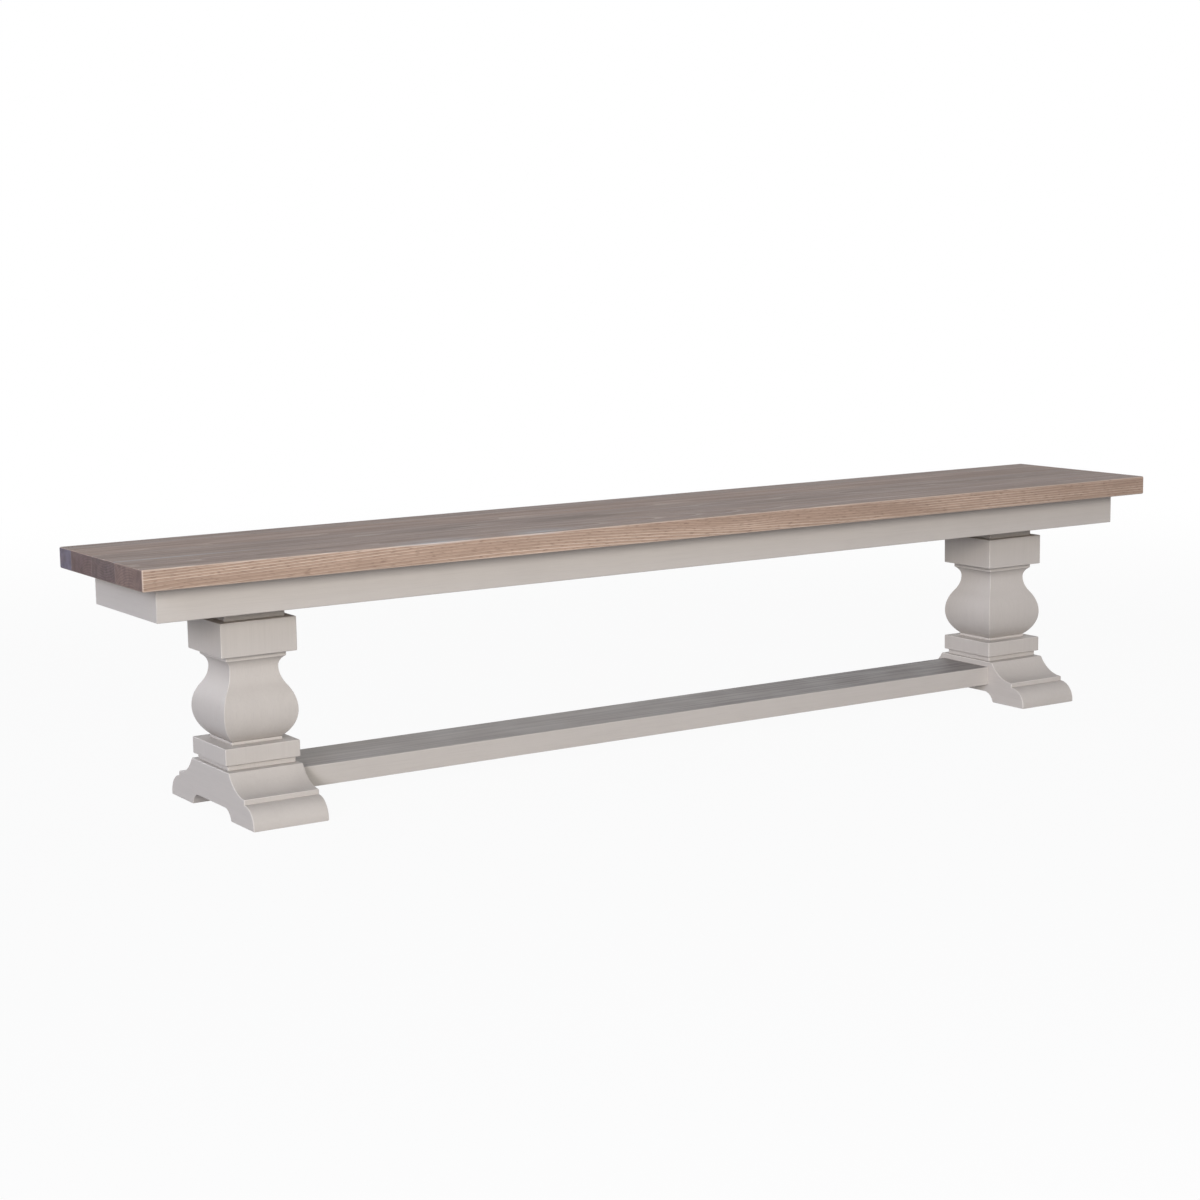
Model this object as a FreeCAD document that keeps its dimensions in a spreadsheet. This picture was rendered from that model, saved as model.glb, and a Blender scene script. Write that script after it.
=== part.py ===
import FreeCAD, Part
import math
import os
import re
import Sketcher

# A dining bench in the trestle manner: a plank seat glued up from staves lies on an apron frame, and
# two pedestals carry it, each a stack of foot, spacer, base block, square vase baluster, cap and neck.
# A flat stretcher joins the two feet. X runs along the seat, -Y is the front, Z is up from the floor,
# and the origin lies on the floor under the middle of the seat. All sizes are millimetres.

# Driving sizes
SIZES = {
    # Seat, glued up from four staves: the front one takes what the other three leave
    "seat_length": 2200,
    "seat_depth": 370,
    "seat_thickness": 36.5,
    "rear_stave_width": 56,
    "rear_middle_stave_width": 94,
    "front_middle_stave_width": 105,
    # Apron frame under the seat, mitred at its corners
    "end_overhang": 42,
    "side_overhang": 51,
    "apron_height": 60.5,
    "apron_thickness": 22,
    # Bearers and corner blocks inside the apron, both cut from one thickness of stock
    "bearer_thickness": 40,
    "pedestal_bearer_width": 140,
    "centre_bearer_width": 70,
    "corner_block_leg": 70,
    # Pedestal stack, from the floor up
    "pedestal_setback": 249,
    "foot_height": 82.5,
    "spacer_height": 10,
    "base_block_height": 29.5,
    "baluster_height": 154.5,
    "cap_height": 59.5,
    "neck_reveal": 22,
    "spacer_width": 126,
    "base_block_width": 138.5,
    "cap_width": 140,
    "neck_width": 111,
    # Foot, seen from the end of the bench: toe, roll, step, hollow, ledge and the arch underneath
    "foot_length": 345,
    "foot_width": 138,
    "toe_edge": 4.5,
    "toe_roll_radius": 35,
    "toe_step": 8.8,
    "ledge_length": 156,
    "arch_span": 161,
    "arch_flat": 112,
    "arch_height": 19.6,
    # Baluster, the same on all four faces: sole, bulb, waist and collar
    "sole_height": 5,
    "sole_step": 1.5,
    "bulb_tuck": 23.6,
    "bulb_height": 53.5,
    "bulb_swell": 24,
    "bulb_share": 0.57,
    "waist_width": 90,
    "waist_drop": 27,
    "cove_spread": 10.5,
    "collar_height": 8.8,
    # Stretcher, with a stub tenon into each foot
    "stretcher_width": 136,
    "stretcher_thickness": 37,
    "stretcher_lift": 35.5,
    "tenon_width": 100,
    "tenon_thickness": 20,
    "tenon_length": 25,
    # Draw rod through each pedestal, with a nut and a washer sunk at both ends
    "rod_diameter": 10,
    "rod_clearance": 1,
    "rod_tail": 2,
    "washer_diameter": 24,
    "washer_thickness": 2,
    "nut_across_flats": 17,
    "nut_height": 8,
    "recess_gap": 4,
    "recess_spare": 2,
    # Dowels that keep the stack square, and those that carry the bearers in the apron
    "dowel_diameter": 10,
    "dowel_bite": 14,
    "dowel_spacing": 52,
    "bearer_dowel_bite": 25,
    "apron_dowel_bite": 12,
    "bearer_dowel_edge": 18,
    # Screws up through bearers and corner blocks into the seat
    "screw_diameter": 5,
    "screw_head_diameter": 10,
    "screw_head_height": 3,
    "screw_sink": 14,
    "screw_bite": 24,
    "screw_span": 70,
    "screw_row": 160,
    # Fits
    "glue_gap": 0.2,
    "end_gap": 1,
    "thread_gap": 0.2,
    "head_gap": 2,
}

# Sizes that follow from the driving ones
FOLLOWING = {
    "front_stave_width": "seat_depth - rear_stave_width - rear_middle_stave_width - front_middle_stave_width",
    "apron_length": "seat_length - 2 * end_overhang",
    "apron_depth": "seat_depth - 2 * side_overhang",
    "apron_inner_length": "apron_length - 2 * apron_thickness",
    "apron_inner_depth": "apron_depth - 2 * apron_thickness",
    "pedestal_x": "seat_length / 2 - pedestal_setback",
    "spacer_top": "foot_height + spacer_height",
    "base_top": "spacer_top + base_block_height",
    "baluster_top": "base_top + baluster_height",
    "cap_top": "baluster_top + cap_height",
    "apron_bottom": "cap_top + neck_reveal",
    "seat_bottom": "apron_bottom + apron_height",
    "bearer_bottom": "seat_bottom - bearer_thickness",
    "bearer_middle": "seat_bottom - bearer_thickness / 2",
    "neck_height": "bearer_bottom - cap_top",
    # Foot outline
    "foot_end": "foot_length / 2",
    "step_out": "foot_end - toe_roll_radius",
    "roll_top": "toe_edge + toe_roll_radius",
    "step_top": "roll_top + toe_step",
    # Baluster outline: half widths, and heights above the base block
    "waist_out": "waist_width / 2",
    "bulb_out": "waist_out + bulb_swell",
    "tuck_out": "bulb_out - bulb_tuck",
    "sole_out": "tuck_out + sole_step",
    "collar_out": "waist_out + cove_spread",
    "collar_bottom": "baluster_height - collar_height",
    "waist_height": "baluster_height - waist_drop",
    # The bulb and the hollow above it are two arcs, upright at bulb and waist, that meet at the turn
    "ogee_rise": "waist_height - bulb_height",
    "ogee_radii": "(bulb_swell ^ 2 + ogee_rise ^ 2) / (2 * bulb_swell)",
    "bulb_radius": "bulb_share * ogee_radii",
    "turn_out": "bulb_out - bulb_radius + bulb_share * (ogee_radii - bulb_swell)",
    "turn_height": "bulb_height + bulb_share * ogee_rise",
    # Stretcher
    "stretcher_length": "2 * pedestal_x - foot_width",
    "tenons_length": "stretcher_length + 2 * tenon_length",
    "tenon_bottom": "stretcher_lift + (stretcher_thickness - tenon_thickness) / 2",
    # Draw rod: the washers bear on the floor of a recess at each end
    "recess_diameter": "washer_diameter + recess_gap",
    "recess_depth": "washer_thickness + nut_height + rod_tail + recess_spare",
    "low_seat": "arch_height + recess_depth",
    "high_seat": "seat_bottom - recess_depth",
    "rod_end_reach": "washer_thickness + nut_height + rod_tail",
    # Seat screws: the head bears on the floor of its recess
    "screw_seat": "bearer_bottom + screw_sink",
    "screw_tip": "seat_bottom + screw_bite",
    "corner_screw_x": "apron_inner_length / 2 - corner_block_leg / 3",
    "corner_screw_y": "apron_inner_depth / 2 - corner_block_leg / 3",
}

doc = FreeCAD.newDocument("dining_bench")
sheet = doc.addObject("Spreadsheet::Sheet", "sizes")
cells = [(name, str(value)) for name, value in SIZES.items()]
cells += [(name, "=" + formula) for name, formula in FOLLOWING.items()]
for row, (name, content) in enumerate(cells, start=1):
    sheet.set(f"A{row}", name)
    sheet.set(f"B{row}", content)
    sheet.setAlias(f"B{row}", name)
doc.recompute()

sub_parts = []


def on_sheet(formula):
    """The formula with every size's name pointing at its cell."""
    return re.sub(r"[a-z]\w*", r"sizes.\g<0>", formula)


def value(formula):
    return float(sheet.evalExpression(on_sheet(formula)))


def bind(piece, **formulas):
    """Tie properties of a piece to formulas of the sheet's sizes."""
    for name, formula in formulas.items():
        piece.setExpression(name, on_sheet(formula))


def place(piece, x, y, z, turn=0, axis=FreeCAD.Vector(0, 0, 1)):
    """Turn a piece about an axis and put its origin at x, y, z, given as formulas."""
    piece.Placement = FreeCAD.Placement(FreeCAD.Vector(), FreeCAD.Rotation(axis, turn))
    for letter, formula in zip("xyz", (x, y, z)):
        piece.setExpression(f"Placement.Base.{letter}", on_sheet(formula))


# Ways of making a piece
def board(name, length, depth, height, x, y, bottom):
    """A square-edged board, centred on x and y, standing on bottom."""
    piece = doc.addObject("Part::Box", name)
    bind(piece, Length=length, Width=depth, Height=height)
    place(piece, f"{x} - ({length}) / 2", f"{y} - ({depth}) / 2", bottom)
    return piece


def upright_pin(name, diameter, x, y, bottom, top):
    piece = doc.addObject("Part::Cylinder", name)
    bind(piece, Radius=f"({diameter}) / 2", Height=f"{top} - ({bottom})")
    place(piece, x, y, bottom)
    return piece


def crosswise_pin(name, diameter, x, y_from, y_to, z):
    """A round pin that runs from front to back."""
    piece = doc.addObject("Part::Cylinder", name)
    bind(piece, Radius=f"({diameter}) / 2", Height=f"{y_to} - ({y_from})")
    place(piece, x, y_from, z, -90, FreeCAD.Vector(1, 0, 0))
    return piece


def join(name, pieces):
    fused = doc.addObject("Part::MultiFuse", name)
    fused.Shapes = pieces
    return fused


def cut(name, piece, tool):
    result = doc.addObject("Part::Cut", name)
    result.Base = piece
    result.Tool = tool
    return result


def finish(label, piece, *drillings):
    """Cut the drillings out of a piece and list it as the sub-part called label."""
    for drilling in drillings:
        piece = cut(f"{label}_cut", piece, drilling)
    piece.Label = label
    sub_parts.append(piece)


def finish_group(label, pieces):
    """List like fasteners as one sub-part of separate solids."""
    group = doc.addObject("Part::Compound", f"{label}_group")
    group.Links = pieces
    finish(label, group)


def arc_between(start, end, centre_x, centre_y):
    """The short arc from start to end, whose centre has the one given coordinate."""
    middle = (start + end) / 2
    chord = end - start
    if centre_x is None:
        centre = FreeCAD.Vector(middle.x - chord.y * (centre_y - middle.y) / chord.x, centre_y, 0)
    else:
        centre = FreeCAD.Vector(centre_x, middle.y - chord.x * (centre_x - middle.x) / chord.y, 0)
    from_angle = math.atan2(start.y - centre.y, start.x - centre.x)
    sweep = math.atan2(end.y - centre.y, end.x - centre.x) - from_angle
    sweep = (sweep + math.pi) % (2 * math.pi) - math.pi
    circle = Part.Circle(centre, FreeCAD.Vector(0, 0, 1), (start - centre).Length)
    if sweep > 0:
        return Part.ArcOfCircle(circle, from_angle, from_angle + sweep), (1, 2)
    return Part.ArcOfCircle(circle, from_angle + sweep, from_angle), (2, 1)


def padded_outline(name, plane, corners, thickness, side="One side"):
    """A body padded from a closed outline on one of its own planes.

    A corner is (across, up) at the end of a straight line, or (across, up, "x" or "y", formula) at the
    end of an arc whose centre has that coordinate.
    """
    body = doc.addObject("PartDesign::Body", name)
    sketch = body.newObject("Sketcher::SketchObject", f"{name}_outline")
    support = next(item for item in body.Origin.OriginFeatures if item.Role == plane)
    sketch.AttachmentSupport = [(support, "")]
    sketch.MapMode = "FlatFace"

    def tie(kind, geometry, end, formula):
        size = Sketcher.Constraint(kind, -1, 1, geometry, end, value(formula))
        index = sketch.addConstraint(size)
        sketch.setExpression(f"Constraints[{index}]", on_sheet(formula))

    points = [FreeCAD.Vector(value(corner[0]), value(corner[1]), 0) for corner in corners]
    ends = []
    for index, corner in enumerate(corners):
        start = points[index - 1]
        end = points[index]
        if len(corner) == 2:
            sketch.addGeometry(Part.LineSegment(start, end), False)
            ends.append((1, 2))
            continue
        letter, formula = corner[2:]
        known = value(formula)
        arc, arc_ends = arc_between(start, end, *((known, None) if letter == "x" else (None, known)))
        sketch.addGeometry(arc, False)
        ends.append(arc_ends)
    for index, corner in enumerate(corners):
        following = (index + 1) % len(corners)
        joint = Sketcher.Constraint("Coincident", index, ends[index][1], following, ends[following][0])
        sketch.addConstraint(joint)
        tie("DistanceX", index, ends[index][1], corner[0])
        tie("DistanceY", index, ends[index][1], corner[1])
        if len(corner) == 4:
            tie(f"Distance{corner[2].upper()}", index, 3, corner[3])

    pad = body.newObject("PartDesign::Pad", f"{name}_pad")
    pad.Profile = sketch
    pad.SideType = side
    bind(pad, Length=thickness)
    return body


def both_sides(right_half):
    """A closed outline from its right half, which runs upwards from the bottom centre line."""
    left_half = []
    for index in range(len(right_half) - 1, -1, -1):
        across, up = right_half[index][:2]
        arrival = right_half[index + 1][2:] if index + 1 < len(right_half) else ()
        if arrival and arrival[0] == "x":
            arrival = ("x", f"-({arrival[1]})")
        left_half.append((f"-({across})", up, *arrival))
    return right_half + left_half


# Fasteners and the holes that they sit in
SIDES = {"left": "-pedestal_x", "right": "pedestal_x"}
HANDS = ("-", "")

# Dowels between the pieces of each stack, a pair at each joint, turned a quarter from joint to joint
STACK_JOINTS = (
    ("foot_height", "spacer_top"),
    ("base_top", "base_top"),
    ("baluster_top", "baluster_top"),
    ("cap_top", "cap_top"),
    ("bearer_bottom", "bearer_bottom"),
)
stack_dowels = []
stack_dowel_holes = []
for side, stack_x in SIDES.items():
    for number, (lower, upper) in enumerate(STACK_JOINTS):
        for hand in HANDS:
            offset = f"{hand}dowel_spacing / 2"
            x = f"{stack_x} + {offset}" if number % 2 == 0 else stack_x
            y = "0" if number % 2 == 0 else offset
            low = f"{lower} - dowel_bite"
            high = f"{upper} + dowel_bite"
            stack_dowels.append(upright_pin(f"{side}_dowel", "dowel_diameter", x, y, low, high))
            stack_dowel_holes.append(upright_pin(
                f"{side}_dowel_hole", "dowel_diameter + glue_gap", x, y, f"{low} - end_gap", f"{high} + end_gap"))
finish_group("pedestal_dowels", stack_dowels)
stack_dowel_holes = join("pedestal_dowel_holes", stack_dowel_holes)

# Draw rods, each with a washer and a nut at both ends
rods = []
washers = []
nuts = []
rod_holes = []
for side, x in SIDES.items():
    rods.append(upright_pin(
        f"{side}_rod", "rod_diameter", x, "0", "low_seat - rod_end_reach", "high_seat + rod_end_reach"))
    ends = {
        "low": ("low_seat - washer_thickness", "low_seat - washer_thickness - nut_height"),
        "high": ("high_seat", "high_seat + washer_thickness"),
    }
    for end, (washer_bottom, nut_bottom) in ends.items():
        disc = upright_pin(f"{side}_{end}_washer_disc", "washer_diameter", x, "0", washer_bottom,
                           f"{washer_bottom} + washer_thickness")
        washer_hole = upright_pin(f"{side}_{end}_washer_hole", "rod_diameter + rod_clearance", x, "0",
                                  washer_bottom, f"{washer_bottom} + washer_thickness")
        washers.append(cut(f"{side}_{end}_washer", disc, washer_hole))
        hexagon = doc.addObject("Part::Prism", f"{side}_{end}_nut_blank")
        hexagon.Polygon = 6
        hexagon.setExpression("Circumradius", on_sheet("nut_across_flats") + " / sqrt(3)")
        bind(hexagon, Height="nut_height")
        place(hexagon, x, "0", nut_bottom)
        nut_hole = upright_pin(f"{side}_{end}_nut_hole", "rod_diameter + thread_gap", x, "0", nut_bottom,
                               f"{nut_bottom} + nut_height")
        nuts.append(cut(f"{side}_{end}_nut", hexagon, nut_hole))
    rod_holes.append(upright_pin(f"{side}_rod_hole", "rod_diameter + rod_clearance", x, "0", "0", "seat_bottom"))
    rod_holes.append(upright_pin(f"{side}_low_recess", "recess_diameter", x, "0", "0", "low_seat"))
    rod_holes.append(upright_pin(f"{side}_high_recess", "recess_diameter", x, "0", "high_seat", "seat_bottom"))
finish_group("draw_rods", rods)
finish_group("draw_rod_washers", washers)
finish_group("draw_rod_nuts", nuts)
rod_holes = join("rod_holes", rod_holes)

# Bearers: where each one stands and how wide it is
BEARERS = {
    "left_cross_bearer": ("-pedestal_x", "pedestal_bearer_width"),
    "centre_cross_bearer": ("0", "centre_bearer_width"),
    "right_cross_bearer": ("pedestal_x", "pedestal_bearer_width"),
}

# Dowels from the ends of the bearers into the long aprons
bearer_dowels = []
bearer_dowel_holes = []
for bearer, (bearer_x, width) in BEARERS.items():
    for hand in HANDS:
        x = f"{bearer_x} + {hand}({width} / 2 - bearer_dowel_edge)"
        rear = ("apron_inner_depth / 2 - bearer_dowel_bite", "apron_inner_depth / 2 + apron_dowel_bite")
        front = (f"-({rear[1]})", f"-({rear[0]})")
        for y_from, y_to in (front, rear):
            bearer_dowels.append(crosswise_pin(
                f"{bearer}_dowel", "dowel_diameter", x, y_from, y_to, "bearer_middle"))
            bearer_dowel_holes.append(crosswise_pin(
                f"{bearer}_dowel_hole", "dowel_diameter + glue_gap", x,
                f"{y_from} - end_gap", f"{y_to} + end_gap", "bearer_middle"))
finish_group("bearer_dowels", bearer_dowels)
bearer_dowel_holes = join("bearer_dowel_holes", bearer_dowel_holes)

# Seat screws: four in each pedestal's bearer, two in the centre one, one in each corner block
screw_spots = []
for hand_y in HANDS:
    y = f"{hand_y}screw_row / 2"
    screw_spots.append(("0", y))
    for hand_x in HANDS:
        screw_spots.append((f"{hand_x}corner_screw_x", f"{hand_y}corner_screw_y"))
        for stack_x in SIDES.values():
            screw_spots.append((f"{stack_x} + {hand_x}screw_span / 2", y))
screws = []
screw_holes = []
for x, y in screw_spots:
    head = upright_pin("screw_head", "screw_head_diameter", x, y, "screw_seat - screw_head_height", "screw_seat")
    shank = upright_pin("screw_shank", "screw_diameter", x, y, "screw_seat", "screw_tip")
    screws.append(join("seat_screw", [head, shank]))
    screw_holes.append(upright_pin(
        "screw_hole", "screw_diameter + thread_gap", x, y, "bearer_bottom", "screw_tip + end_gap"))
    screw_holes.append(upright_pin(
        "screw_recess", "screw_head_diameter + head_gap", x, y, "bearer_bottom", "screw_seat"))
finish_group("seat_screws", screws)
screw_holes = join("screw_holes", screw_holes)

# Seat staves, from the back edge forwards
STAVES = {
    "rear_seat_stave": "rear_stave_width",
    "rear_middle_seat_stave": "rear_middle_stave_width",
    "front_middle_seat_stave": "front_middle_stave_width",
    "front_seat_stave": "front_stave_width",
}
behind = "seat_depth / 2"
for label, width in STAVES.items():
    blank = board(f"{label}_blank", "seat_length", width, "seat_thickness",
                  "0", f"{behind} - {width} / 2", "seat_bottom")
    finish(label, blank, screw_holes)
    behind = f"{behind} - {width}"


# Apron frame: four rails on edge, mitred where they meet
def mitred_rail(label, length, x, y, turn, *drillings):
    """A rail whose outer face stands at x, y, with its thickness turned inwards."""
    corners = [
        (f"-{length} / 2", "0"),
        (f"{length} / 2", "0"),
        (f"{length} / 2 - apron_thickness", "apron_thickness"),
        (f"-{length} / 2 + apron_thickness", "apron_thickness"),
    ]
    rail = padded_outline(f"{label}_blank", "XY_Plane", corners, "apron_height")
    place(rail, x, y, "apron_bottom", turn)
    finish(label, rail, *drillings)


mitred_rail("front_apron", "apron_length", "0", "-apron_depth / 2", 0, bearer_dowel_holes)
mitred_rail("rear_apron", "apron_length", "0", "apron_depth / 2", 180, bearer_dowel_holes)
mitred_rail("left_end_apron", "apron_depth", "-apron_length / 2", "0", -90)
mitred_rail("right_end_apron", "apron_depth", "apron_length / 2", "0", 90)

# Corner blocks glued into the angles of the apron frame
CORNERS = {
    "front_left_corner_block": ("-", "-", 0),
    "front_right_corner_block": ("", "-", 90),
    "rear_right_corner_block": ("", "", 180),
    "rear_left_corner_block": ("-", "", 270),
}
TRIANGLE = [("0", "0"), ("corner_block_leg", "0"), ("0", "corner_block_leg")]
for label, (hand_x, hand_y, turn) in CORNERS.items():
    block = padded_outline(f"{label}_blank", "XY_Plane", TRIANGLE, "bearer_thickness")
    place(block, f"{hand_x}apron_inner_length / 2", f"{hand_y}apron_inner_depth / 2", "bearer_bottom", turn)
    finish(label, block, screw_holes)

for label, (x, width) in BEARERS.items():
    blank = board(f"{label}_blank", width, "apron_inner_depth", "bearer_thickness", x, "0", "bearer_bottom")
    finish(label, blank, screw_holes, bearer_dowel_holes, stack_dowel_holes, rod_holes)

# Stretcher: a flat board with a stub tenon at each end, and the mortises that take them
plank = board("stretcher_plank", "stretcher_length", "stretcher_width", "stretcher_thickness",
              "0", "0", "stretcher_lift")
tenons = board("stretcher_tenons", "tenons_length", "tenon_width", "tenon_thickness", "0", "0", "tenon_bottom")
finish("stretcher", join("stretcher_blank", [plank, tenons]))
mortises = board("mortises", "tenons_length + 2 * end_gap", "tenon_width + glue_gap",
                 "tenon_thickness + glue_gap", "0", "0", "tenon_bottom - glue_gap / 2")

# Foot outline, right half from the arch's crown round the toe to the ledge on top
FOOT_OUTLINE = both_sides([
    ("arch_flat / 2", "arch_height"),
    ("arch_span / 2", "0", "x", "arch_flat / 2"),
    ("foot_end", "0"),
    ("foot_end", "toe_edge"),
    ("step_out", "roll_top", "y", "toe_edge"),
    ("step_out", "step_top"),
    ("ledge_length / 2", "foot_height", "x", "step_out"),
])

# Baluster outline, right half from the sole up to the collar
BALUSTER_OUTLINE = both_sides([
    ("sole_out", "0"),
    ("sole_out", "sole_height"),
    ("tuck_out", "sole_height"),
    ("bulb_out", "bulb_height", "y", "bulb_height"),
    ("turn_out", "turn_height", "y", "bulb_height"),
    ("waist_out", "waist_height", "y", "waist_height"),
    ("collar_out", "collar_bottom", "y", "waist_height"),
    ("collar_out", "baluster_height"),
])


def foot(label, x):
    blank = padded_outline(f"{label}_blank", "YZ_Plane", FOOT_OUTLINE, "foot_width", "Symmetric")
    place(blank, x, "0", "0")
    finish(label, blank, rod_holes, stack_dowel_holes, mortises)


def baluster(label, x):
    """A square vase: the same outline sawn from the front and then from the side."""
    sawn = doc.addObject("Part::Common", f"{label}_blank")
    views = []
    for view, plane in (("front", "XZ_Plane"), ("side", "YZ_Plane")):
        views.append(padded_outline(f"{label}_{view}", plane, BALUSTER_OUTLINE, "2 * bulb_out", "Symmetric"))
        place(views[-1], x, "0", "base_top")
    sawn.Base, sawn.Tool = views
    finish(label, sawn, rod_holes, stack_dowel_holes)


def stack_block(label, width, height, x, bottom):
    blank = board(f"{label}_blank", width, width, height, x, "0", bottom)
    finish(label, blank, rod_holes, stack_dowel_holes)


for side, stack_x in SIDES.items():
    foot(f"{side}_foot", stack_x)
    stack_block(f"{side}_foot_spacer", "spacer_width", "spacer_height", stack_x, "foot_height")
    stack_block(f"{side}_base_block", "base_block_width", "base_block_height", stack_x, "spacer_top")
    baluster(f"{side}_baluster", stack_x)
    stack_block(f"{side}_cap_block", "cap_width", "cap_height", stack_x, "baluster_top")
    stack_block(f"{side}_neck_block", "neck_width", "neck_height", stack_x, "cap_top")

doc.recompute()

for item in doc.Objects:
    if "Invalid" in item.State or "Error" in item.State:
        raise RuntimeError(f"{item.Label} failed: {item.State}")
for piece in sub_parts:
    if piece.Shape.isNull() or not piece.Shape.isValid() or not piece.Shape.Solids:
        raise RuntimeError(f"{piece.Label} has no sound solid")

os.makedirs("parts", exist_ok=True)
for piece in sub_parts:
    piece.Shape.exportStep(f"parts/{piece.Label}.step")
    print(piece.Label, len(piece.Shape.Solids), round(piece.Shape.Volume), piece.Shape.BoundBox)
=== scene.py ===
import math

import bmesh
import bpy
from mathutils import Matrix, Vector


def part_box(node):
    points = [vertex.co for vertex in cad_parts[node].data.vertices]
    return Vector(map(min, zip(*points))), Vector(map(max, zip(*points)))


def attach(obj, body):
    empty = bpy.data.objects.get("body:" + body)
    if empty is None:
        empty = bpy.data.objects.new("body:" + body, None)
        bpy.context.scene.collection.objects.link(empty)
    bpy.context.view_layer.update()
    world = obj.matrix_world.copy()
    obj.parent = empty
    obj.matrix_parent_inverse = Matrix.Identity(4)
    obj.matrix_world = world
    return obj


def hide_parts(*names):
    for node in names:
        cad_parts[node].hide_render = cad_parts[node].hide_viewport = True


# A dining bench: a grey-washed plank seat on painted aprons, two painted vase pedestals and a stretcher.
# All sizes are metres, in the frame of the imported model: X along the seat, -Y the front, Z up.
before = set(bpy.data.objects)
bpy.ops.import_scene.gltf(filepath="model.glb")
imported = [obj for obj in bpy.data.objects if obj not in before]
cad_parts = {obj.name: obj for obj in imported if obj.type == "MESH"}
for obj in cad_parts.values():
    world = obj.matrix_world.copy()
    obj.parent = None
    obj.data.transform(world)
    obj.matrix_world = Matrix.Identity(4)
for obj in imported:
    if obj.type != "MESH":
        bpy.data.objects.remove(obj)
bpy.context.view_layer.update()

# Easing of the edges
SEAT_ARRIS = 0.0028
STAVE_JOINT_ARRIS = 0.0003
PAINTED_ARRIS = 0.0018
BALUSTER_ARRIS = 0.0028
BARE_ARRIS = 0.0008
ARRIS_SEGMENTS = 3
SHARP_ANGLE = math.radians(28)
FLAT_ANGLE = math.radians(0.2)
SAME_PLACE = 0.00001

# Edges up to the first length are facets of a bore's rim, and those over the second run along a rail
BORE_FACET = 0.0024
RAIL_EDGE = 0.1
MITRE_TIP_DEGREES = (15, 30, 45, 60, 75)

# Square vase baluster: half widths, and heights above its base block
SOLE_HEIGHT = 0.005
SOLE_STEP = 0.0015
BULB_TUCK = 0.0236
BULB_HEIGHT = 0.0535
BULB_SWELL = 0.024
BULB_SHARE = 0.57
WAIST_OUT = 0.045
WAIST_DROP = 0.027
COVE_SPREAD = 0.0105
COLLAR_HEIGHT = 0.0088
OUTLINE_STEP = math.radians(3)

# Seat timber: its growth rings and how they wander, and the swirls that small knots leave in them
RING_WIDTH = 0.0043
RING_STRETCH = 24
RING_WANDER = 0.006
RING_WANDER_SIZE = 0.045
RING_WAVINESS = 1.2
RING_WAVE_SIZE = 0.02
SWIRL_SIZE = (0.15, 0.035, 0.035)
SWIRL_LIFT = 0.007
FAR = 10

# Seat colours
LIMED_LINE = (0.72, 0.60, 0.50, 1)
EARLY_WOOD = (0.406, 0.285, 0.217, 1)
LATE_WOOD = (0.293, 0.200, 0.150, 1)
DARK_FLECK = (0.17, 0.105, 0.078, 1)
# Grey wash on the top faces, which also stands for a painted sheen that greys the top
GREY_WASH_AND_SHEEN = (0.228, 0.190, 0.182, 1)
# Pale smears at the seat's edges and at a glue joint: painted highlights where the edges catch the light
PAINTED_HIGHLIGHT_PALE = (0.46, 0.46, 0.47, 1)
# Pale seat edges: wear, and a painted highlight where the rounded edge catches the light
WORN_WOOD_AND_HIGHLIGHT = (0.84, 0.71, 0.61, 1)
END_BROWN = (0.098, 0.058, 0.046, 1)

# Paint: its colour, the brush marks, the wear and painted highlight, and the X span over which scuffs and
# painted shade darken its top more and more
STONE = (0.497, 0.459, 0.428, 1)
BRUSHED_THIN = (0.462, 0.426, 0.397, 1)
BRUSHED_THICK = (0.517, 0.478, 0.446, 1)
GRAIN_LINE = (0.40, 0.366, 0.341, 1)
# Pale painted edges: wear, and a painted highlight where the rounded edge catches the light
WORN_PAINT_AND_HIGHLIGHT = (0.76, 0.72, 0.68, 1)
# Darker top of the stretcher: scuffs, and painted shade under the seat
SCUFFED_AND_SHADED_PAINT = (0.148, 0.132, 0.132, 1)
DARKENING_SPAN = (-0.4, 0.9)

# Bare softwood and zinc plate
BARE_PALE = (0.60, 0.43, 0.27, 1)
BARE_DARK = (0.47, 0.31, 0.17, 1)
BARE_LINE = (0.36, 0.23, 0.12, 1)
ZINC_DULL = (0.52, 0.53, 0.55, 1)
ZINC_BRIGHT = (0.66, 0.67, 0.68, 1)

# How far grain stretches along X, Y or Z, and the range that most of a noise lies in
ALONG_X = (40, 1, 1)
ALONG_Y = (1, 40, 1)
ALONG_Z = (1, 1, 40)
NOISE_RANGE = (0.3, 0.7)
HALF_GREY = (0.5, 0.5, 0.5)

# Camera: where it stands, how it is turned in degrees, and its lens in millimetres
CAMERA_PLACE = (-2.49343, -3.69505, 0.96326)
CAMERA_AZIMUTH = 32.6688
CAMERA_ELEVATION = 8.7034
CAMERA_ROLL = -0.9185
SENSOR_WIDTH = 36
FOCAL_LENGTH = 71.214

# Studio
ROOM_LIGHT = 0.05
BACK_LIGHT = 0.3
LIGHT_COLOUR = (0.91, 0.93, 1.0, 1)
BENCH_MIDDLE = (0, 0, 0.25)
FLOOR_SIZE = 40
FLOOR_HEIGHT = 0.0002
FLOOR_COLOUR = (0.40, 0.40, 0.43, 1)
FLOOR_WHITE_SHARE = 0.95
FLOOR_FADE = (1.6, 4.5)
WHITE = (1, 1, 1, 1)


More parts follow.
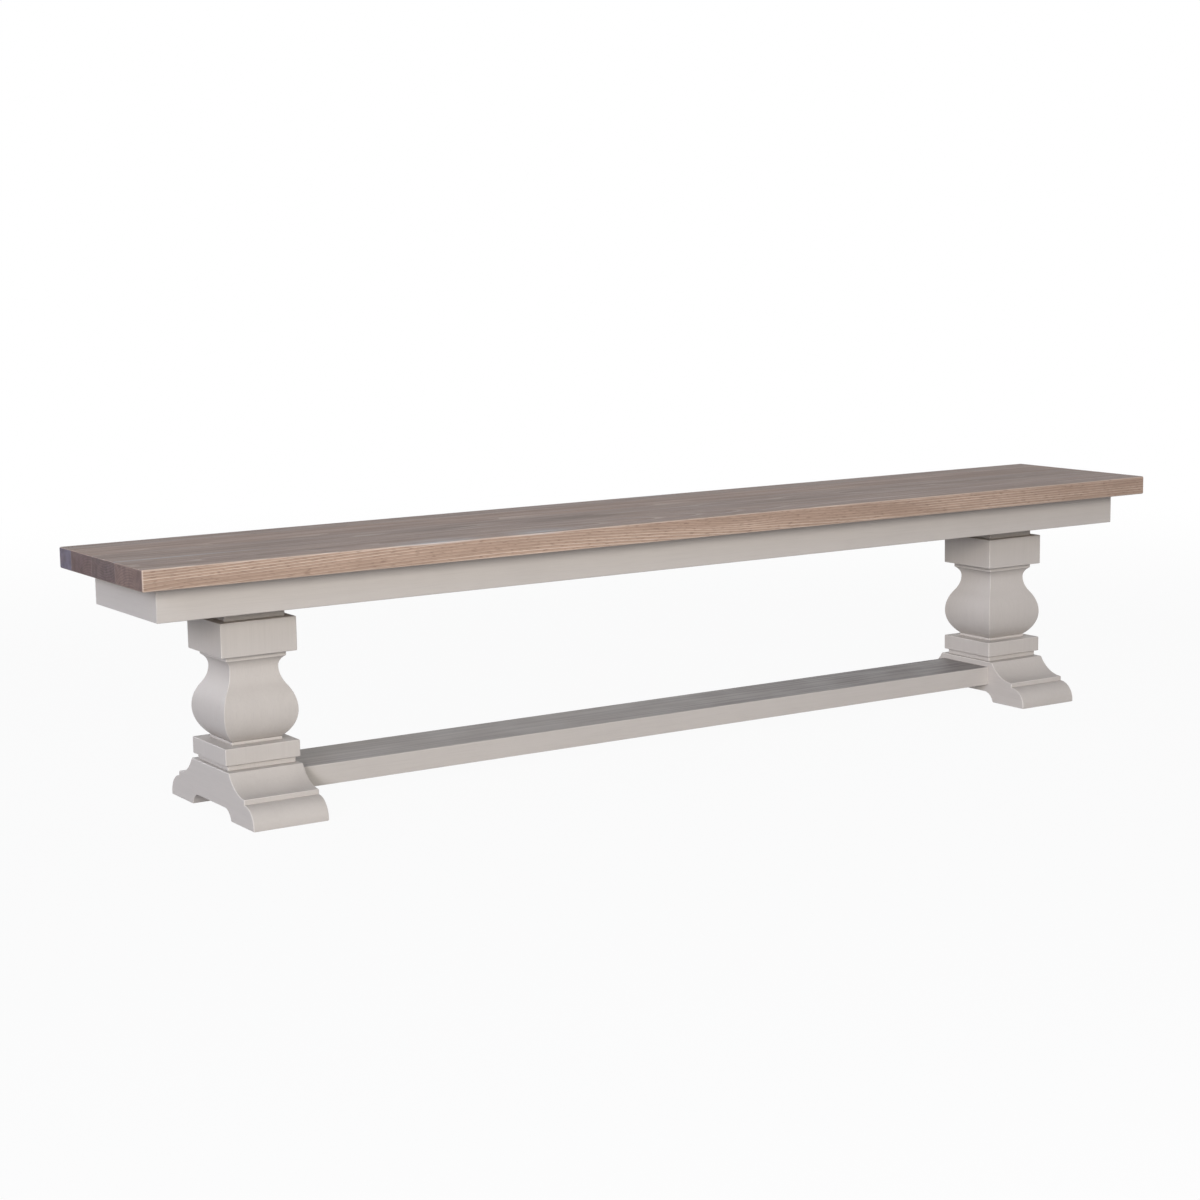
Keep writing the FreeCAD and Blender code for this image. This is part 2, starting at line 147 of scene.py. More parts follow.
# Ways of making a finish
class Nodes:
    """A node tree in the making: each method adds a node, and most give its output."""

    def __init__(self, owner):
        owner.use_nodes = True
        self.tree = owner.node_tree
        self.tree.nodes.clear()

    def add(self, kind, inputs=None, **settings):
        """A node with its settings, and with its inputs set to values or linked to other outputs."""
        node = self.tree.nodes.new(f"ShaderNode{kind}")
        for name, value in settings.items():
            setattr(node, name, value)
        for key, value in (inputs or {}).items():
            if isinstance(value, bpy.types.NodeSocket):
                self.tree.links.new(value, node.inputs[key])
            else:
                node.inputs[key].default_value = value
        return node

    def math(self, operation, *values):
        return self.add("Math", dict(enumerate(values)), operation=operation).outputs[0]

    def times(self, first, second):
        return self.math("MULTIPLY", first, second)

    def graded(self, value, low, high, first=0.0, last=1.0):
        """A smooth step of the value, from first at low to last at high."""
        inputs = {"Value": value, "From Min": low, "From Max": high, "To Min": first, "To Max": last}
        return self.add("MapRange", inputs, interpolation_type="SMOOTHSTEP").outputs[0]

    def varied(self, noise, first, last):
        """A noise, spread between two values."""
        return self.graded(noise, *NOISE_RANGE, first, last)

    def part_of(self, vector, axis):
        return self.add("SeparateXYZ", {"Vector": vector}).outputs[axis]

    def seen(self):
        """1 for what the camera sees, also mirrored or through glass, and 0 for the light given."""
        path = self.add("LightPath")
        mirrored = self.math("MAXIMUM", path.outputs["Is Glossy Ray"], path.outputs["Is Transmission Ray"])
        return self.math("MAXIMUM", path.outputs["Is Camera Ray"], mirrored)


class Finish(Nodes):
    """A material in the making, patterned by the place on the piece."""

    def __init__(self, name):
        self.material = bpy.data.materials.new(name)
        super().__init__(self.material)
        self.place = self.add("TexCoord").outputs["Object"]
        self.normal = self.add("NewGeometry").outputs["Normal"]

    def stretched(self, scale, location=(0, 0, 0), rotation=(0, 0, 0)):
        """The place on the piece, measured in a frame that is moved, turned and stretched."""
        inputs = {"Vector": self.place, "Location": location, "Rotation": rotation, "Scale": scale}
        return self.add("Mapping", inputs, vector_type="TEXTURE").outputs[0]

    def noise(self, vector, per_metre, detail=2.0, roughness=0.5):
        """Cloudy marks, so many to the metre."""
        inputs = {"Vector": vector, "Scale": per_metre, "Detail": detail, "Roughness": roughness}
        return self.add("TexNoise", inputs).outputs["Fac"]

    def marks(self, longer, per_metre, start=(0, 0, 0), detail=3.0, roughness=0.6):
        """Marks in the grain, so many times longer along X than across it."""
        return self.noise(self.stretched((longer, 1, 1), start), per_metre, detail, roughness)

    def near(self, centre, size, there=1.0, elsewhere=0.0):
        """One value at the centre, which fades to the other at the size from it."""
        away = self.add("VectorMath", {0: self.stretched(size, centre)}, operation="LENGTH").outputs["Value"]
        return self.graded(away, 0.0, 1.0, there, elsewhere)

    def lifted(self, vector, height):
        """The vector, moved up by a height."""
        rise = self.add("CombineXYZ", {"Z": height}).outputs[0]
        return self.add("VectorMath", {0: vector, 1: rise}, operation="ADD").outputs[0]

    def uneven(self, vector, size, reach):
        """The vector, led astray by up to half the reach, over stretches of about the size."""
        inputs = {"Vector": vector, "Scale": 1 / size, "Detail": 1.0}
        astray = self.add("TexNoise", inputs).outputs["Color"]
        aside = self.add("VectorMath", {0: astray, 1: HALF_GREY}, operation="SUBTRACT").outputs[0]
        inputs = {0: aside, 1: (reach, reach, reach), 2: vector}
        return self.add("VectorMath", inputs, operation="MULTIPLY_ADD").outputs[0]

    def rings(self, vector, spacing, waviness, wave_size):
        """Growth rings about the X axis, each rising from 0 to 1."""
        scale = math.tau / (20 * spacing)
        inputs = {
            "Vector": vector,
            "Scale": scale,
            "Distortion": waviness,
            "Detail": 2.0,
            "Detail Scale": 1 / (scale * wave_size),
        }
        settings = {"wave_type": "RINGS", "rings_direction": "X", "wave_profile": "SAW"}
        return self.add("TexWave", inputs, **settings).outputs["Fac"]

    def ramp(self, value, *stops):
        """A colour for each value, between stops of position and colour."""
        node = self.add("ValToRGB", {"Fac": value})
        elements = node.color_ramp.elements
        while len(elements) < len(stops):
            elements.new(0.5)
        for element, (position, colour) in zip(elements, stops):
            element.position = position
            element.color = colour
        return node.outputs["Color"]

    def mix(self, share, first, second, blend="MIX"):
        inputs = {0: share, 6: first, 7: second}
        return self.add("Mix", inputs, data_type="RGBA", blend_type=blend).outputs[2]

    def tinted(self, colour, tint):
        """The colour, multiplied by another colour or by a value."""
        return self.mix(1.0, colour, tint, "MULTIPLY")

    def facing(self, axis):
        """How squarely the surface faces along an axis, either way."""
        return self.math("ABSOLUTE", self.part_of(self.normal, axis))

    def upward(self):
        """1 on faces that look up, and 0 on the others."""
        return self.graded(self.part_of(self.normal, "Z"), 0.5, 0.95)

    def arris(self):
        """1 along an eased edge and 0 elsewhere."""
        return self.add("Attribute", attribute_name="arris").outputs["Fac"]

    def surface(self, colour, roughness, height, depth, **plain):
        """The finished shader, with the height in metres that its bump stands for."""
        bump = self.add("Bump", {"Height": height, "Distance": depth, "Strength": 1.0})
        inputs = {"Base Color": colour, "Roughness": roughness, "Normal": bump.outputs[0]}
        for name, value in plain.items():
            inputs[name.replace("_", " ")] = value
        shader = self.add("BsdfPrincipled", inputs)
        self.add("OutputMaterial", {"Surface": shader.outputs[0]})
        return self.material


# Finishes
def log_rings(finish, pith, lean, bow, swirls):
    """The growth rings of a log that bows along the board and swirls round its small knots."""
    middle, reach, rise = bow
    log = finish.stretched((RING_STRETCH, 1, 1), pith, lean)
    log = finish.lifted(log, finish.near((middle, 0, 0), (reach, FAR, FAR), -rise))
    for centre in swirls:
        log = finish.lifted(log, finish.near(centre, SWIRL_SIZE, SWIRL_LIFT))
    wandering = finish.uneven(log, RING_WANDER_SIZE, RING_WANDER)
    return finish.rings(wandering, RING_WIDTH, RING_WAVINESS, RING_WAVE_SIZE)


def seat_wood(name, pith, lean, bow, swirls, painted_highlights, blotches_and_painted_light, tone, end_tone):
    """Limed open-grained timber, cut from a log whose pith runs along the board, greyed on top by a wash and
    a painted sheen.
    """
    finish = Finish(name)
    ring = log_rings(finish, pith, lean, bow, swirls)
    fibre = finish.marks(longer=45, per_metre=900)
    flecks = finish.marks(longer=6, per_metre=380, start=pith, detail=2.0)
    strands = finish.marks(longer=40, per_metre=190, start=pith)
    streaks = finish.marks(longer=16, per_metre=48, start=pith, roughness=0.55)
    patches = finish.marks(longer=5, per_metre=85, start=pith)
    mottles = finish.noise(finish.stretched((1, 2, 1), pith), per_metre=48, detail=4.0, roughness=0.65)

    # Wood with its lime-filled lines
    limed = finish.graded(ring, 0.08, 0.32, 1.0, 0.0)
    line = finish.times(limed, finish.graded(streaks, 0.36, 0.62, 0.15, 0.8))
    colour = finish.ramp(ring, (0.55, EARLY_WOOD), (1.0, LATE_WOOD))
    shade = finish.times(finish.varied(strands, 0.94, 1.06), finish.varied(streaks, 0.92, 1.08))
    shade = finish.times(shade, finish.varied(patches, 0.94, 1.06))
    colour = finish.tinted(colour, shade)
    colour = finish.mix(finish.graded(flecks, 0.53, 0.68, 0.0, 0.6), colour, DARK_FLECK)
    colour = finish.mix(line, colour, LIMED_LINE)
    colour = finish.mix(finish.varied(fibre, 0.45, 0.0), colour, LATE_WOOD)

    # Streaky grey wash and painted sheen on top, with pale painted highlights, and blotches, some of them
    # painted light
    wash_and_sheen = finish.times(finish.upward(), finish.varied(strands, 0.66, 0.3))
    washed_and_sheen = finish.tinted(GREY_WASH_AND_SHEEN, finish.graded(streaks, 0.35, 0.65, 0.76, 1.24))
    colour = finish.mix(wash_and_sheen, colour, washed_and_sheen)
    # Pale smears near the edges: painted highlights
    for centre, size in painted_highlights:
        highlight_share = finish.times(finish.near(centre, size), finish.graded(strands, 0.42, 0.6, 0.1, 1.0))
        colour = finish.mix(highlight_share, colour, PAINTED_HIGHLIGHT_PALE)
    colour = finish.tinted(colour, tone)
    # Blotches; those on the front edge are painted light
    for centre, size, change in blotches_and_painted_light:
        colour = finish.tinted(colour, finish.near(centre, size, change, 1.0))

    # Dark end grain, and pale edges from wear and a painted highlight
    end_colour = finish.mix(finish.graded(mottles, 0.42, 0.62, 0.0, 0.3), end_tone, END_BROWN)
    end_shade = finish.times(finish.graded(ring, 0.1, 1.0, 1.2, 0.8), finish.varied(patches, 0.8, 1.2))
    end_colour = finish.tinted(end_colour, end_shade)
    colour = finish.mix(finish.graded(finish.facing("X"), 0.55, 0.95), colour, end_colour)
    wear_and_highlight = finish.times(finish.arris(), finish.graded(finish.facing("Y"), 0.1, 0.5, 0.08, 0.32))
    colour = finish.mix(wear_and_highlight, colour, WORN_WOOD_AND_HIGHLIGHT)

    roughness = finish.varied(fibre, 0.62, 0.48)
    relief = finish.math("SUBTRACT", finish.times(fibre, 0.5), finish.times(line, 0.4))
    return finish.surface(colour, roughness, relief, depth=0.0003, Specular_IOR_Level=0.14)


def painted_wood(name, grain, scuffs_and_shade=0.0):
    """Stone-grey satin paint, brushed along the grain, with wear and a painted highlight at its edges, and
    scuffs and painted shade where feet rest.
    """
    finish = Finish(name)
    fibre = finish.noise(finish.stretched(grain), per_metre=700, detail=3.0, roughness=0.6)
    brush = finish.noise(finish.stretched(grain), per_metre=150)
    clouds = finish.noise(finish.place, per_metre=14)
    colour = finish.mix(finish.graded(brush, 0.35, 0.65, 0.0, 0.35), STONE, BRUSHED_THIN)
    colour = finish.mix(finish.graded(clouds, 0.35, 0.7, 0.0, 0.5), colour, BRUSHED_THICK)
    colour = finish.mix(finish.graded(fibre, 0.3, 0.5, 0.25, 0.0), colour, GRAIN_LINE)
    # Tops darken towards +X: scuffs, and painted shade that deepens away from the lamps at the left
    along = finish.part_of(finish.place, "X")
    trodden_and_shaded = finish.times(finish.upward(), finish.graded(along, *DARKENING_SPAN, 0.55, 1.0))
    scuffed_and_shaded = finish.times(trodden_and_shaded, finish.graded(brush, 0.35, 0.65, 0.6 * scuffs_and_shade, scuffs_and_shade))
    colour = finish.mix(scuffed_and_shaded, colour, SCUFFED_AND_SHADED_PAINT)
    # Pale edges: wear and a painted highlight
    wear_and_highlight = finish.times(finish.arris(), finish.varied(clouds, 0.1, 0.4))
    colour = finish.mix(wear_and_highlight, colour, WORN_PAINT_AND_HIGHLIGHT)
    roughness = finish.varied(clouds, 0.44, 0.54)
    relief = finish.math("ADD", finish.times(fibre, 0.35), finish.times(brush, 0.65))
    return finish.surface(colour, roughness, relief, depth=0.0002, Specular_IOR_Level=0.3)


def bare_wood(name, grain):
    """Planed softwood, left bare inside the frame."""
    finish = Finish(name)
    bands = finish.noise(finish.stretched(grain), per_metre=60)
    fibre = finish.noise(finish.stretched(grain), per_metre=600, detail=3.0, roughness=0.6)
    colour = finish.ramp(bands, (0.35, BARE_PALE), (0.65, BARE_DARK))
    colour = finish.mix(finish.graded(fibre, 0.3, 0.6, 0.3, 0.0), colour, BARE_LINE)
    roughness = finish.varied(fibre, 0.75, 0.62)
    return finish.surface(colour, roughness, fibre, depth=0.0003)


def zinc_steel(name):
    """Bright zinc plate, clouded and a little dull."""
    finish = Finish(name)
    clouds = finish.noise(finish.place, per_metre=180, detail=3.0)
    specks = finish.noise(finish.place, per_metre=1500)
    colour = finish.ramp(clouds, (0.3, ZINC_DULL), (0.7, ZINC_BRIGHT))
    roughness = finish.varied(clouds, 0.28, 0.45)
    return finish.surface(colour, roughness, specks, depth=0.00005, Metallic=1.0)


# Ways of making a piece
def ease(mesh, edges, radius):
    """Round the edges and mark the middle of each rounding, where wear and a painted highlight go."""
    rounding_middle = mesh.verts.layers.float.get("arris") or mesh.verts.layers.float.new("arris")
    rounded = bmesh.ops.bevel(
        mesh, geom=edges, offset=radius, offset_type="OFFSET", affect="EDGES", segments=ARRIS_SEGMENTS,
        profile=0.5, material=-1, clamp_overlap=True)
    faces = set(rounded["faces"])
    for vert in rounded["verts"]:
        if all(face in faces for face in vert.link_faces):
            vert[rounding_middle] = 1.0


def sharp_edges(mesh, shortest=0.0):
    """The outward edges that are sharp, and longer than the shortest."""
    return [edge for edge in mesh.edges
            if edge.is_convex and edge.calc_face_angle(0) > SHARP_ANGLE and edge.calc_length() > shortest]


def finer_piece(node, mesh, finish):
    """Turn a mesh into the piece that stands for a CAD node."""
    for face in mesh.faces:
        face.smooth = True
    for edge in mesh.edges:
        edge.smooth = edge.calc_face_angle(0) < SHARP_ANGLE
    data = bpy.data.meshes.new(f"{node}_finished")
    mesh.to_mesh(data)
    mesh.free()
    data.materials.append(finish)
    piece = bpy.data.objects.new(f"{node}_finished", data)
    bpy.context.scene.collection.objects.link(piece)
    normals = piece.modifiers.new("flat faces stay flat", "WEIGHTED_NORMAL")
    normals.keep_sharp = True
    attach(piece, "root")
    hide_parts(node)


def merged_copy(node):
    """The CAD piece's own mesh, in one skin with whole faces."""
    mesh = bmesh.new()
    mesh.from_mesh(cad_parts[node].data)
    bmesh.ops.remove_doubles(mesh, verts=mesh.verts, dist=SAME_PLACE)
    bmesh.ops.dissolve_limit(mesh, angle_limit=FLAT_ANGLE, verts=mesh.verts, edges=mesh.edges)
    return mesh


def eased_piece(node, radius, finish):
    """The CAD piece with its outside edges rounded and the rims of its bores left sharp."""
    mesh = merged_copy(node)
    ease(mesh, sharp_edges(mesh, BORE_FACET), radius)
    finer_piece(node, mesh, finish)


# Seat: each stave from another board, eased at the seat's outside and only just at the glue joints
SEAT_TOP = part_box("front_seat_stave")[1].z
SEAT_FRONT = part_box("front_seat_stave")[0].y
SEAT_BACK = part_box("rear_seat_stave")[1].y
EDGE_MIDDLE = 0.437

# For each stave: where the log's pith lies and how it leans; the middle, reach and rise of its bow; its
# swirls; its pale painted highlights, by centre and size; its blotches and painted light, by centre, size and
# brightness; and its colours
STAVES = {
    "rear_seat_stave": {
        "pith": (0, 0.20, 0.33),
        "lean": (0, 0.012, 0.004),
        "bow": (0.5, 1.3, 0.02),
        "swirls": [(0.35, 0.16, SEAT_TOP)],
        "painted_highlights": [((0.11, 0.182, SEAT_TOP), (0.09, 0.012, 0.004))],
        "blotches_and_painted_light": [((-0.7, SEAT_BACK, SEAT_TOP), (0.8, 0.04, 0.05), 0.85)],
        "tone": (0.96, 0.98, 1.0, 1),
        "end_tone": (0.116, 0.099, 0.134, 1),
    },
    "rear_middle_seat_stave": {
        "pith": (0, 0.05, 0.36),
        "lean": (0, -0.008, 0.006),
        "bow": (-0.6, 1.0, 0.015),
        "swirls": [(-0.97, 0.03, SEAT_TOP)],
        "painted_highlights": [],
        "blotches_and_painted_light": [((0.95, 0.05, SEAT_TOP), (0.5, 0.1, 0.05), 0.88)],
        "tone": (1.03, 1.0, 0.98, 1),
        "end_tone": (0.102, 0.063, 0.062, 1),
    },
    "front_middle_seat_stave": {
        "pith": (0, -0.02, 0.56),
        "lean": (0, 0.01, -0.005),
        "bow": (0.1, 1.1, 0.02),
        "swirls": [(-0.2, -0.05, SEAT_TOP)],
        "painted_highlights": [((-1.1, -0.067, SEAT_TOP), (0.45, 0.008, 0.05))],
        "blotches_and_painted_light": [
            ((-0.49, -0.02, SEAT_TOP), (0.16, 0.035, 0.05), 0.74),
            ((-0.21, -0.035, SEAT_TOP), (0.18, 0.04, 0.05), 0.68),
            ((0.32, -0.05, SEAT_TOP), (0.22, 0.03, 0.05), 0.8),
            ((0.9, -0.01, SEAT_TOP), (0.35, 0.07, 0.05), 0.84),
        ],
        "tone": (0.95, 0.96, 0.97, 1),
        "end_tone": (0.100, 0.067, 0.066, 1),
    },
    "front_seat_stave": {
        "pith": (0, -0.13, 0.34),
        "lean": (0, 0.0, 0.003),
        "bow": (-0.42, 0.85, 0.024),
        "swirls": [(-1.13, SEAT_FRONT, 0.41), (0.05, SEAT_FRONT, 0.45)],
        "painted_highlights": [
            ((-0.56, SEAT_FRONT, SEAT_TOP), (0.12, 0.065, 0.004)),
            ((-0.35, -0.180, SEAT_TOP), (0.10, 0.075, 0.004)),
        ],
        # On the front edge, paler towards the left and darker towards the right: painted light, brighter
        # nearer the lamps at the left
        "blotches_and_painted_light": [
            ((-0.42, SEAT_FRONT, EDGE_MIDDLE), (0.8, 0.06, 0.05), 1.09),
            ((0.95, SEAT_FRONT, EDGE_MIDDLE), (0.9, 0.06, 0.05), 0.97),
        ],
        "tone": (0.99, 1.0, 1.01, 1),
        "end_tone": (0.151, 0.099, 0.087, 1),
    },
}


def seat_stave(node, timber):
    """A stave with its outside edges rounded, and its edges at the glue joints only just broken."""
    mesh = merged_copy(node)
    glued = [y for y in (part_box(node)[0].y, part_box(node)[1].y) if SEAT_FRONT < y < SEAT_BACK]

    def in_joint(edge):
        return any(all(abs(vert.co.y - y) < SAME_PLACE for vert in edge.verts) for y in glued)

    ease(mesh, [edge for edge in sharp_edges(mesh, BORE_FACET) if not in_joint(edge)], SEAT_ARRIS)
    ease(mesh, [edge for edge in sharp_edges(mesh) if in_joint(edge)], STAVE_JOINT_ARRIS)
    finer_piece(node, mesh, seat_wood(node.replace("seat_stave", "stave_wood"), **timber))


for stave, timber in STAVES.items():
    seat_stave(stave, timber)

# Painted pieces, each brushed along its own grain
paint_along_x = painted_wood("painted_wood_lengthwise", ALONG_X)
scuffed_and_shaded_paint = painted_wood("painted_wood_scuffed_and_shaded", ALONG_X, scuffs_and_shade=1.0)
paint_along_y = painted_wood("painted_wood_crosswise", ALONG_Y)
paint_along_z = painted_wood("painted_wood_upright", ALONG_Z)


def baluster_outline():
    """Points from the sole to the collar, as half width and height."""
    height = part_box("left_baluster")[1].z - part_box("left_baluster")[0].z
    bulb_out = WAIST_OUT + BULB_SWELL
    tuck_out = bulb_out - BULB_TUCK
    waist_height = height - WAIST_DROP
    collar_bottom = height - COLLAR_HEIGHT
    rise = waist_height - BULB_HEIGHT
    radii = (BULB_SWELL ** 2 + rise ** 2) / (2 * BULB_SWELL)
    bulb_centre = Vector((bulb_out - BULB_SHARE * radii, BULB_HEIGHT))
    waist_centre = Vector((WAIST_OUT + (1 - BULB_SHARE) * radii, waist_height))
    turn = bulb_centre.lerp(waist_centre, BULB_SHARE)
    tuck = Vector((tuck_out, SOLE_HEIGHT))
    bulb = Vector((bulb_out, BULB_HEIGHT))
    waist = Vector((WAIST_OUT, waist_height))
    cove = Vector((WAIST_OUT + COVE_SPREAD, collar_bottom))
    points = [Vector((tuck_out + SOLE_STEP, 0)), Vector((tuck_out + SOLE_STEP, SOLE_HEIGHT)), tuck]
    points += arc(tuck, bulb, level_centre(tuck, bulb, BULB_HEIGHT))
    points += arc(bulb, turn, bulb_centre)
    points += arc(turn, waist, waist_centre)
    points += arc(waist, cove, level_centre(cove, waist, waist_height))
    points.append(Vector((cove.x, height)))
    return points


def level_centre(free_end, level_end, height):
    """The centre, at a given height, of the arc that is upright where it reaches that height."""
    across = free_end.x - level_end.x
    radius = (across ** 2 + (free_end.y - height) ** 2) / (2 * abs(across))
    return Vector((level_end.x + math.copysign(radius, across), height))


def arc(start, end, centre):
    """Points of the short arc after its start, up to and with its end."""
    first = start - centre
    sweep = first.angle_signed(end - centre)
    steps = max(2, round(abs(sweep) / OUTLINE_STEP))
    return [centre + Matrix.Rotation(-sweep * step / steps, 2) @ first for step in range(1, steps + 1)]


def baluster(node):
    """The outline set at one corner and spun in four steps, which leaves it square."""
    low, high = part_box(node)
    middle = (low + high) / 2
    mesh = bmesh.new()
    outline = [mesh.verts.new((middle.x + out, out, low.z + up)) for out, up in baluster_outline()]
    edges = [mesh.edges.new(pair) for pair in zip(outline, outline[1:])]
    bmesh.ops.spin(
        mesh, geom=outline + edges, cent=(middle.x, 0, 0), axis=(0, 0, 1),
        angle=math.tau, steps=4, use_merge=True)
    bmesh.ops.remove_doubles(mesh, verts=mesh.verts, dist=SAME_PLACE)
    bmesh.ops.holes_fill(mesh, edges=[edge for edge in mesh.edges if edge.is_boundary], sides=4)
    bmesh.ops.recalc_face_normals(mesh, faces=mesh.faces)
    ease(mesh, sharp_edges(mesh), BALUSTER_ARRIS)
    finer_piece(node, mesh, paint_along_z)


for side in ("left", "right"):
    eased_piece(f"{side}_foot", PAINTED_ARRIS, paint_along_y)
    for block in ("foot_spacer", "base_block", "cap_block", "neck_block"):
        eased_piece(f"{side}_{block}", PAINTED_ARRIS, paint_along_z)
    baluster(f"{side}_baluster")
# The stretcher's top gets scuffs and painted shade
eased_piece("stretcher", PAINTED_ARRIS, scuffed_and_shaded_paint)


def mitred_apron(node, finish):
    """A rail whose long edges are eased, and whose tips are rounded up to the mitre."""
    frame_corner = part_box("rear_apron")[1]
    mesh = merged_copy(node)
    long_edges = [edge for edge in sharp_edges(mesh, RAIL_EDGE)
                  if abs(edge.verts[0].co.z - edge.verts[1].co.z) < SAME_PLACE]
    ease(mesh, long_edges, PAINTED_ARRIS)
    for hand_x, hand_y in ((-1, -1), (1, -1), (-1, 1), (1, 1)):
        corner = Vector((hand_x * frame_corner.x, hand_y * frame_corner.y, 0))
        centre = corner - Vector((hand_x, hand_y, 0)) * PAINTED_ARRIS
        for degrees in MITRE_TIP_DEGREES:
            turn = math.radians(degrees)
            outwards = Vector((hand_x * math.sin(turn), hand_y * math.cos(turn), 0))
            geometry = mesh.verts[:] + mesh.edges[:] + mesh.faces[:]
            bmesh.ops.bisect_plane(
                mesh, geom=geometry, plane_co=centre + outwards * PAINTED_ARRIS, plane_no=outwards,
                clear_outer=True)
            bmesh.ops.holes_fill(mesh, edges=[edge for edge in mesh.edges if edge.is_boundary])
    finer_piece(node, mesh, finish)


for rail, finish in {
    "front_apron": paint_along_x,
    "rear_apron": paint_along_x,
    "left_end_apron": paint_along_y,
    "right_end_apron": paint_along_y,
}.items():
    mitred_apron(rail, finish)

# Bare timber inside the frame
bare_along_x = bare_wood("bare_wood_lengthwise", ALONG_X)
bare_along_y = bare_wood("bare_wood_crosswise", ALONG_Y)
for bearer in ("left_cross_bearer", "centre_cross_bearer", "right_cross_bearer"):
    eased_piece(bearer, BARE_ARRIS, bare_along_y)
for corner in ("front_left", "front_right", "rear_left", "rear_right"):
    eased_piece(f"{corner}_corner_block", BARE_ARRIS, bare_along_x)


def refinish(node, finish):
    """Give a CAD node that stays as it is a better material."""
    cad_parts[node].data.materials.clear()
    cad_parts[node].data.materials.append(finish)


# Dowels and steel fasteners
refinish("pedestal_dowels", bare_wood("dowel_wood_upright", ALONG_Z))
refinish("bearer_dowels", bare_along_y)
zinc = zinc_steel("zinc_steel")
for fastener in ("draw_rods", "draw_rod_washers", "draw_rod_nuts", "seat_screws"):
    refinish(fastener, zinc)


# Studio
def pale_floor():
    """Pale floor, unseen from below, that fades to white away from the bench and keeps its shadow."""
    finish = Finish("pale_floor")
    distance = finish.add("VectorMath", {0: finish.place}, operation="LENGTH").outputs["Value"]
    whiteness = finish.graded(distance, *FLOOR_FADE, FLOOR_WHITE_SHARE, 1.0)
    share = finish.times(finish.seen(), whiteness)
    paper = finish.add("BsdfDiffuse", {"Color": FLOOR_COLOUR}).outputs[0]
    white = finish.add("Emission", {"Color": WHITE, "Strength": 1.0}).outputs[0]
    upper = finish.add("MixShader", {0: share, 1: paper, 2: white}).outputs[0]
    under = finish.add("NewGeometry").outputs["Backfacing"]
    nothing = finish.add("BsdfTransparent").outputs[0]
    both = finish.add("MixShader", {0: under, 1: upper, 2: nothing}).outputs[0]
    finish.add("OutputMaterial", {"Surface": both})

    mesh = bmesh.new()
    level = Matrix.Translation((0, 0, FLOOR_HEIGHT))
    bmesh.ops.create_grid(mesh, x_segments=1, y_segments=1, size=FLOOR_SIZE / 2, matrix=level)
    data = bpy.data.meshes.new("floor")
    mesh.to_mesh(data)
    mesh.free()
    data.materials.append(finish.material)
    floor = bpy.data.objects.new("floor", data)
    bpy.context.scene.collection.objects.link(floor)


def sky():
    """Faint light from all round and more of it from behind, low down, on a white background."""
    world = bpy.data.worlds.new("studio")
    bpy.context.scene.world = world
    nodes = Nodes(world)
    way = nodes.add("TexCoord").outputs["Generated"]
    behind = nodes.math("MULTIPLY_ADD", nodes.part_of(way, "X"), 0.5, nodes.part_of(way, "Y"))
    low_down = nodes.graded(nodes.part_of(way, "Z"), 0.3, 0.8, 1.0, 0.2)
    from_behind = nodes.times(nodes.graded(behind, 0.0, 0.8, 0.0, BACK_LIGHT), low_down)
    strength = nodes.math("ADD", from_behind, ROOM_LIGHT)
    light = nodes.add("Background", {"Color": LIGHT_COLOUR, "Strength": strength}).outputs[0]
    white = nodes.add("Background", {"Color": WHITE, "Strength": 1.0}).outputs[0]
    background = nodes.add("MixShader", {0: nodes.seen(), 1: light, 2: white}).outputs[0]
    nodes.add("OutputWorld", {"Surface": background})


def aimed(lamp, place):
    """Set a lamp at a place and turn it to the bench."""
    holder = bpy.data.objects.new(lamp.name, lamp)
    holder.location = place
    holder.rotation_mode = "QUATERNION"
    holder.rotation_quaternion = (Vector(BENCH_MIDDLE) - Vector(place)).to_track_quat("-Z", "Y")
    holder.visible_camera = False
    bpy.context.scene.collection.objects.link(holder)


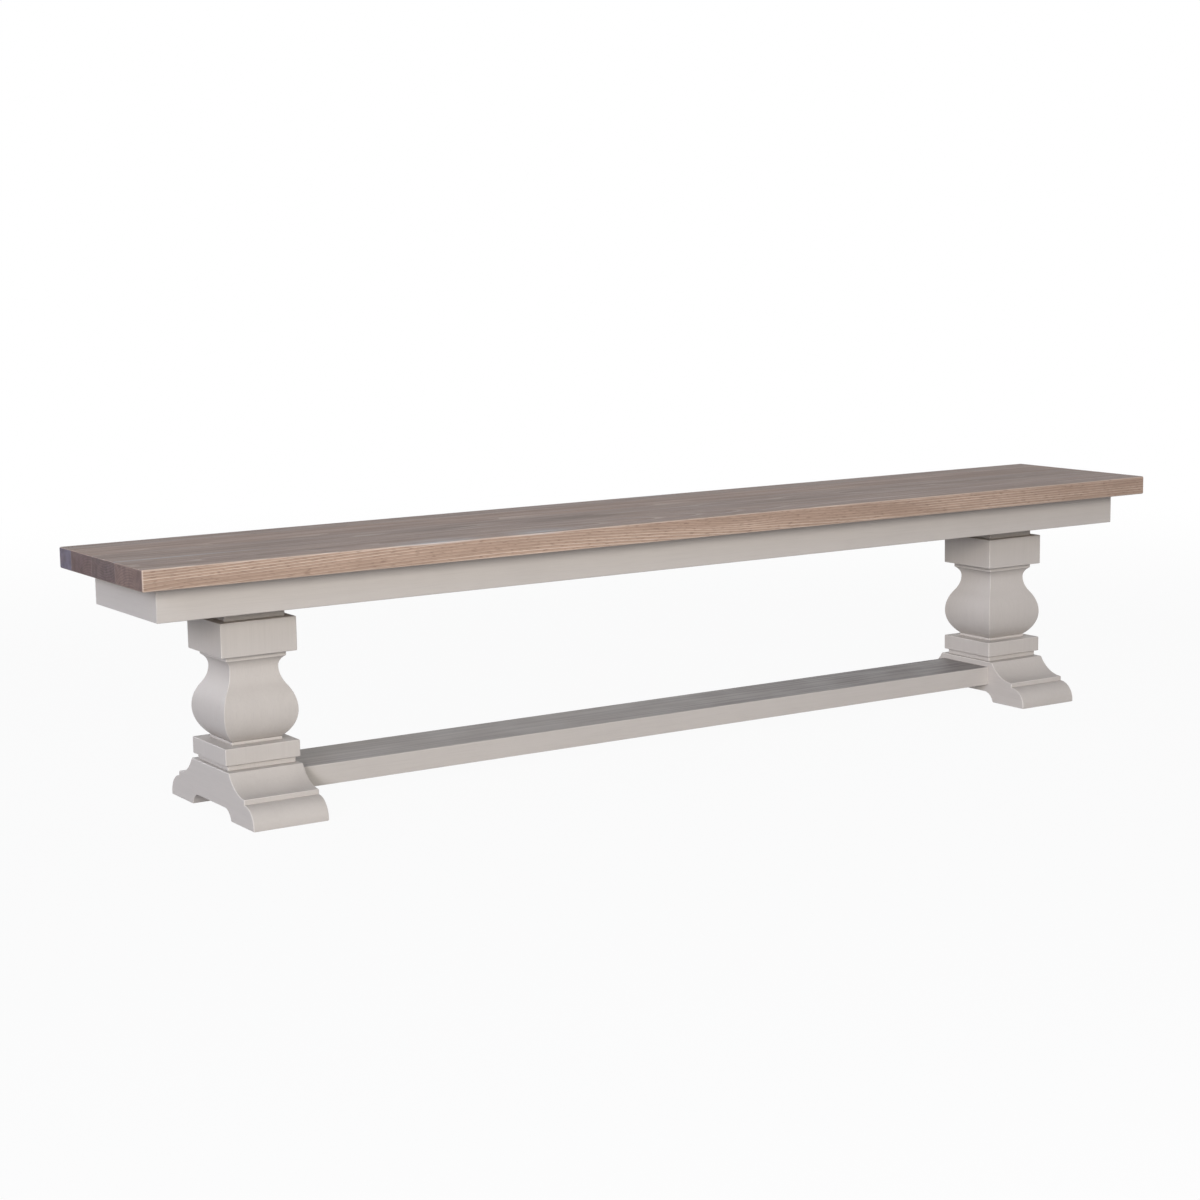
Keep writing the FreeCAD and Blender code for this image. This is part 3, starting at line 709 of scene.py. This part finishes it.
def softbox(name, place, width, height, power, colour):
    """A soft panel near the bench."""
    lamp = bpy.data.lights.new(name, "AREA")
    lamp.shape = "RECTANGLE"
    lamp.size = width
    lamp.size_y = height
    lamp.energy = power
    lamp.color = colour
    aimed(lamp, place)


def window(name, azimuth, elevation, spread, strength, colour):
    """A broad light too far off to fade along the bench. Its azimuth is degrees to the left of the front."""
    lamp = bpy.data.lights.new(name, "SUN")
    lamp.angle = math.radians(spread)
    lamp.energy = strength
    lamp.color = colour
    across = math.cos(math.radians(elevation))
    turn = math.radians(azimuth)
    way = Vector((-math.sin(turn) * across, -math.cos(turn) * across, math.sin(math.radians(elevation))))
    aimed(lamp, Vector(BENCH_MIDDLE) + way)


def camera():
    """The photograph's own viewpoint."""
    lens = bpy.data.cameras.new("camera")
    lens.sensor_width = SENSOR_WIDTH
    lens.lens = FOCAL_LENGTH
    eye = bpy.data.objects.new("camera", lens)
    eye.location = CAMERA_PLACE
    eye.rotation_mode = "QUATERNION"
    turn = Matrix.Rotation(-math.radians(CAMERA_AZIMUTH), 3, "Z")
    tip = Matrix.Rotation(math.radians(90 - CAMERA_ELEVATION), 3, "X")
    roll = Matrix.Rotation(math.radians(CAMERA_ROLL), 3, "Z")
    eye.rotation_quaternion = (turn @ tip @ roll).to_quaternion()
    bpy.context.scene.collection.objects.link(eye)
    bpy.context.scene.camera = eye


pale_floor()
sky()
softbox("front_softbox", place=(-1.4, -3.5, 1.3), width=2.1, height=1.26, power=77, colour=(1.0, 0.99, 0.935))
softbox("left_softbox", place=(-4.76, 0, 3.9), width=2.7, height=2.2, power=34, colour=(0.70, 0.81, 1.0))
window("front_left_window", azimuth=45, elevation=13, spread=17, strength=1.45, colour=(1.0, 0.965, 0.95))
window("left_window", azimuth=62, elevation=23, spread=18, strength=0.92, colour=(0.75, 0.82, 1.0))
window("right_window", azimuth=-95, elevation=10, spread=25, strength=1.2, colour=(0.95, 0.96, 1.0))
window("back_window", azimuth=165, elevation=12, spread=25, strength=0.75, colour=(0.95, 0.96, 1.0))
camera()
bpy.context.scene.view_settings.view_transform = "Standard"
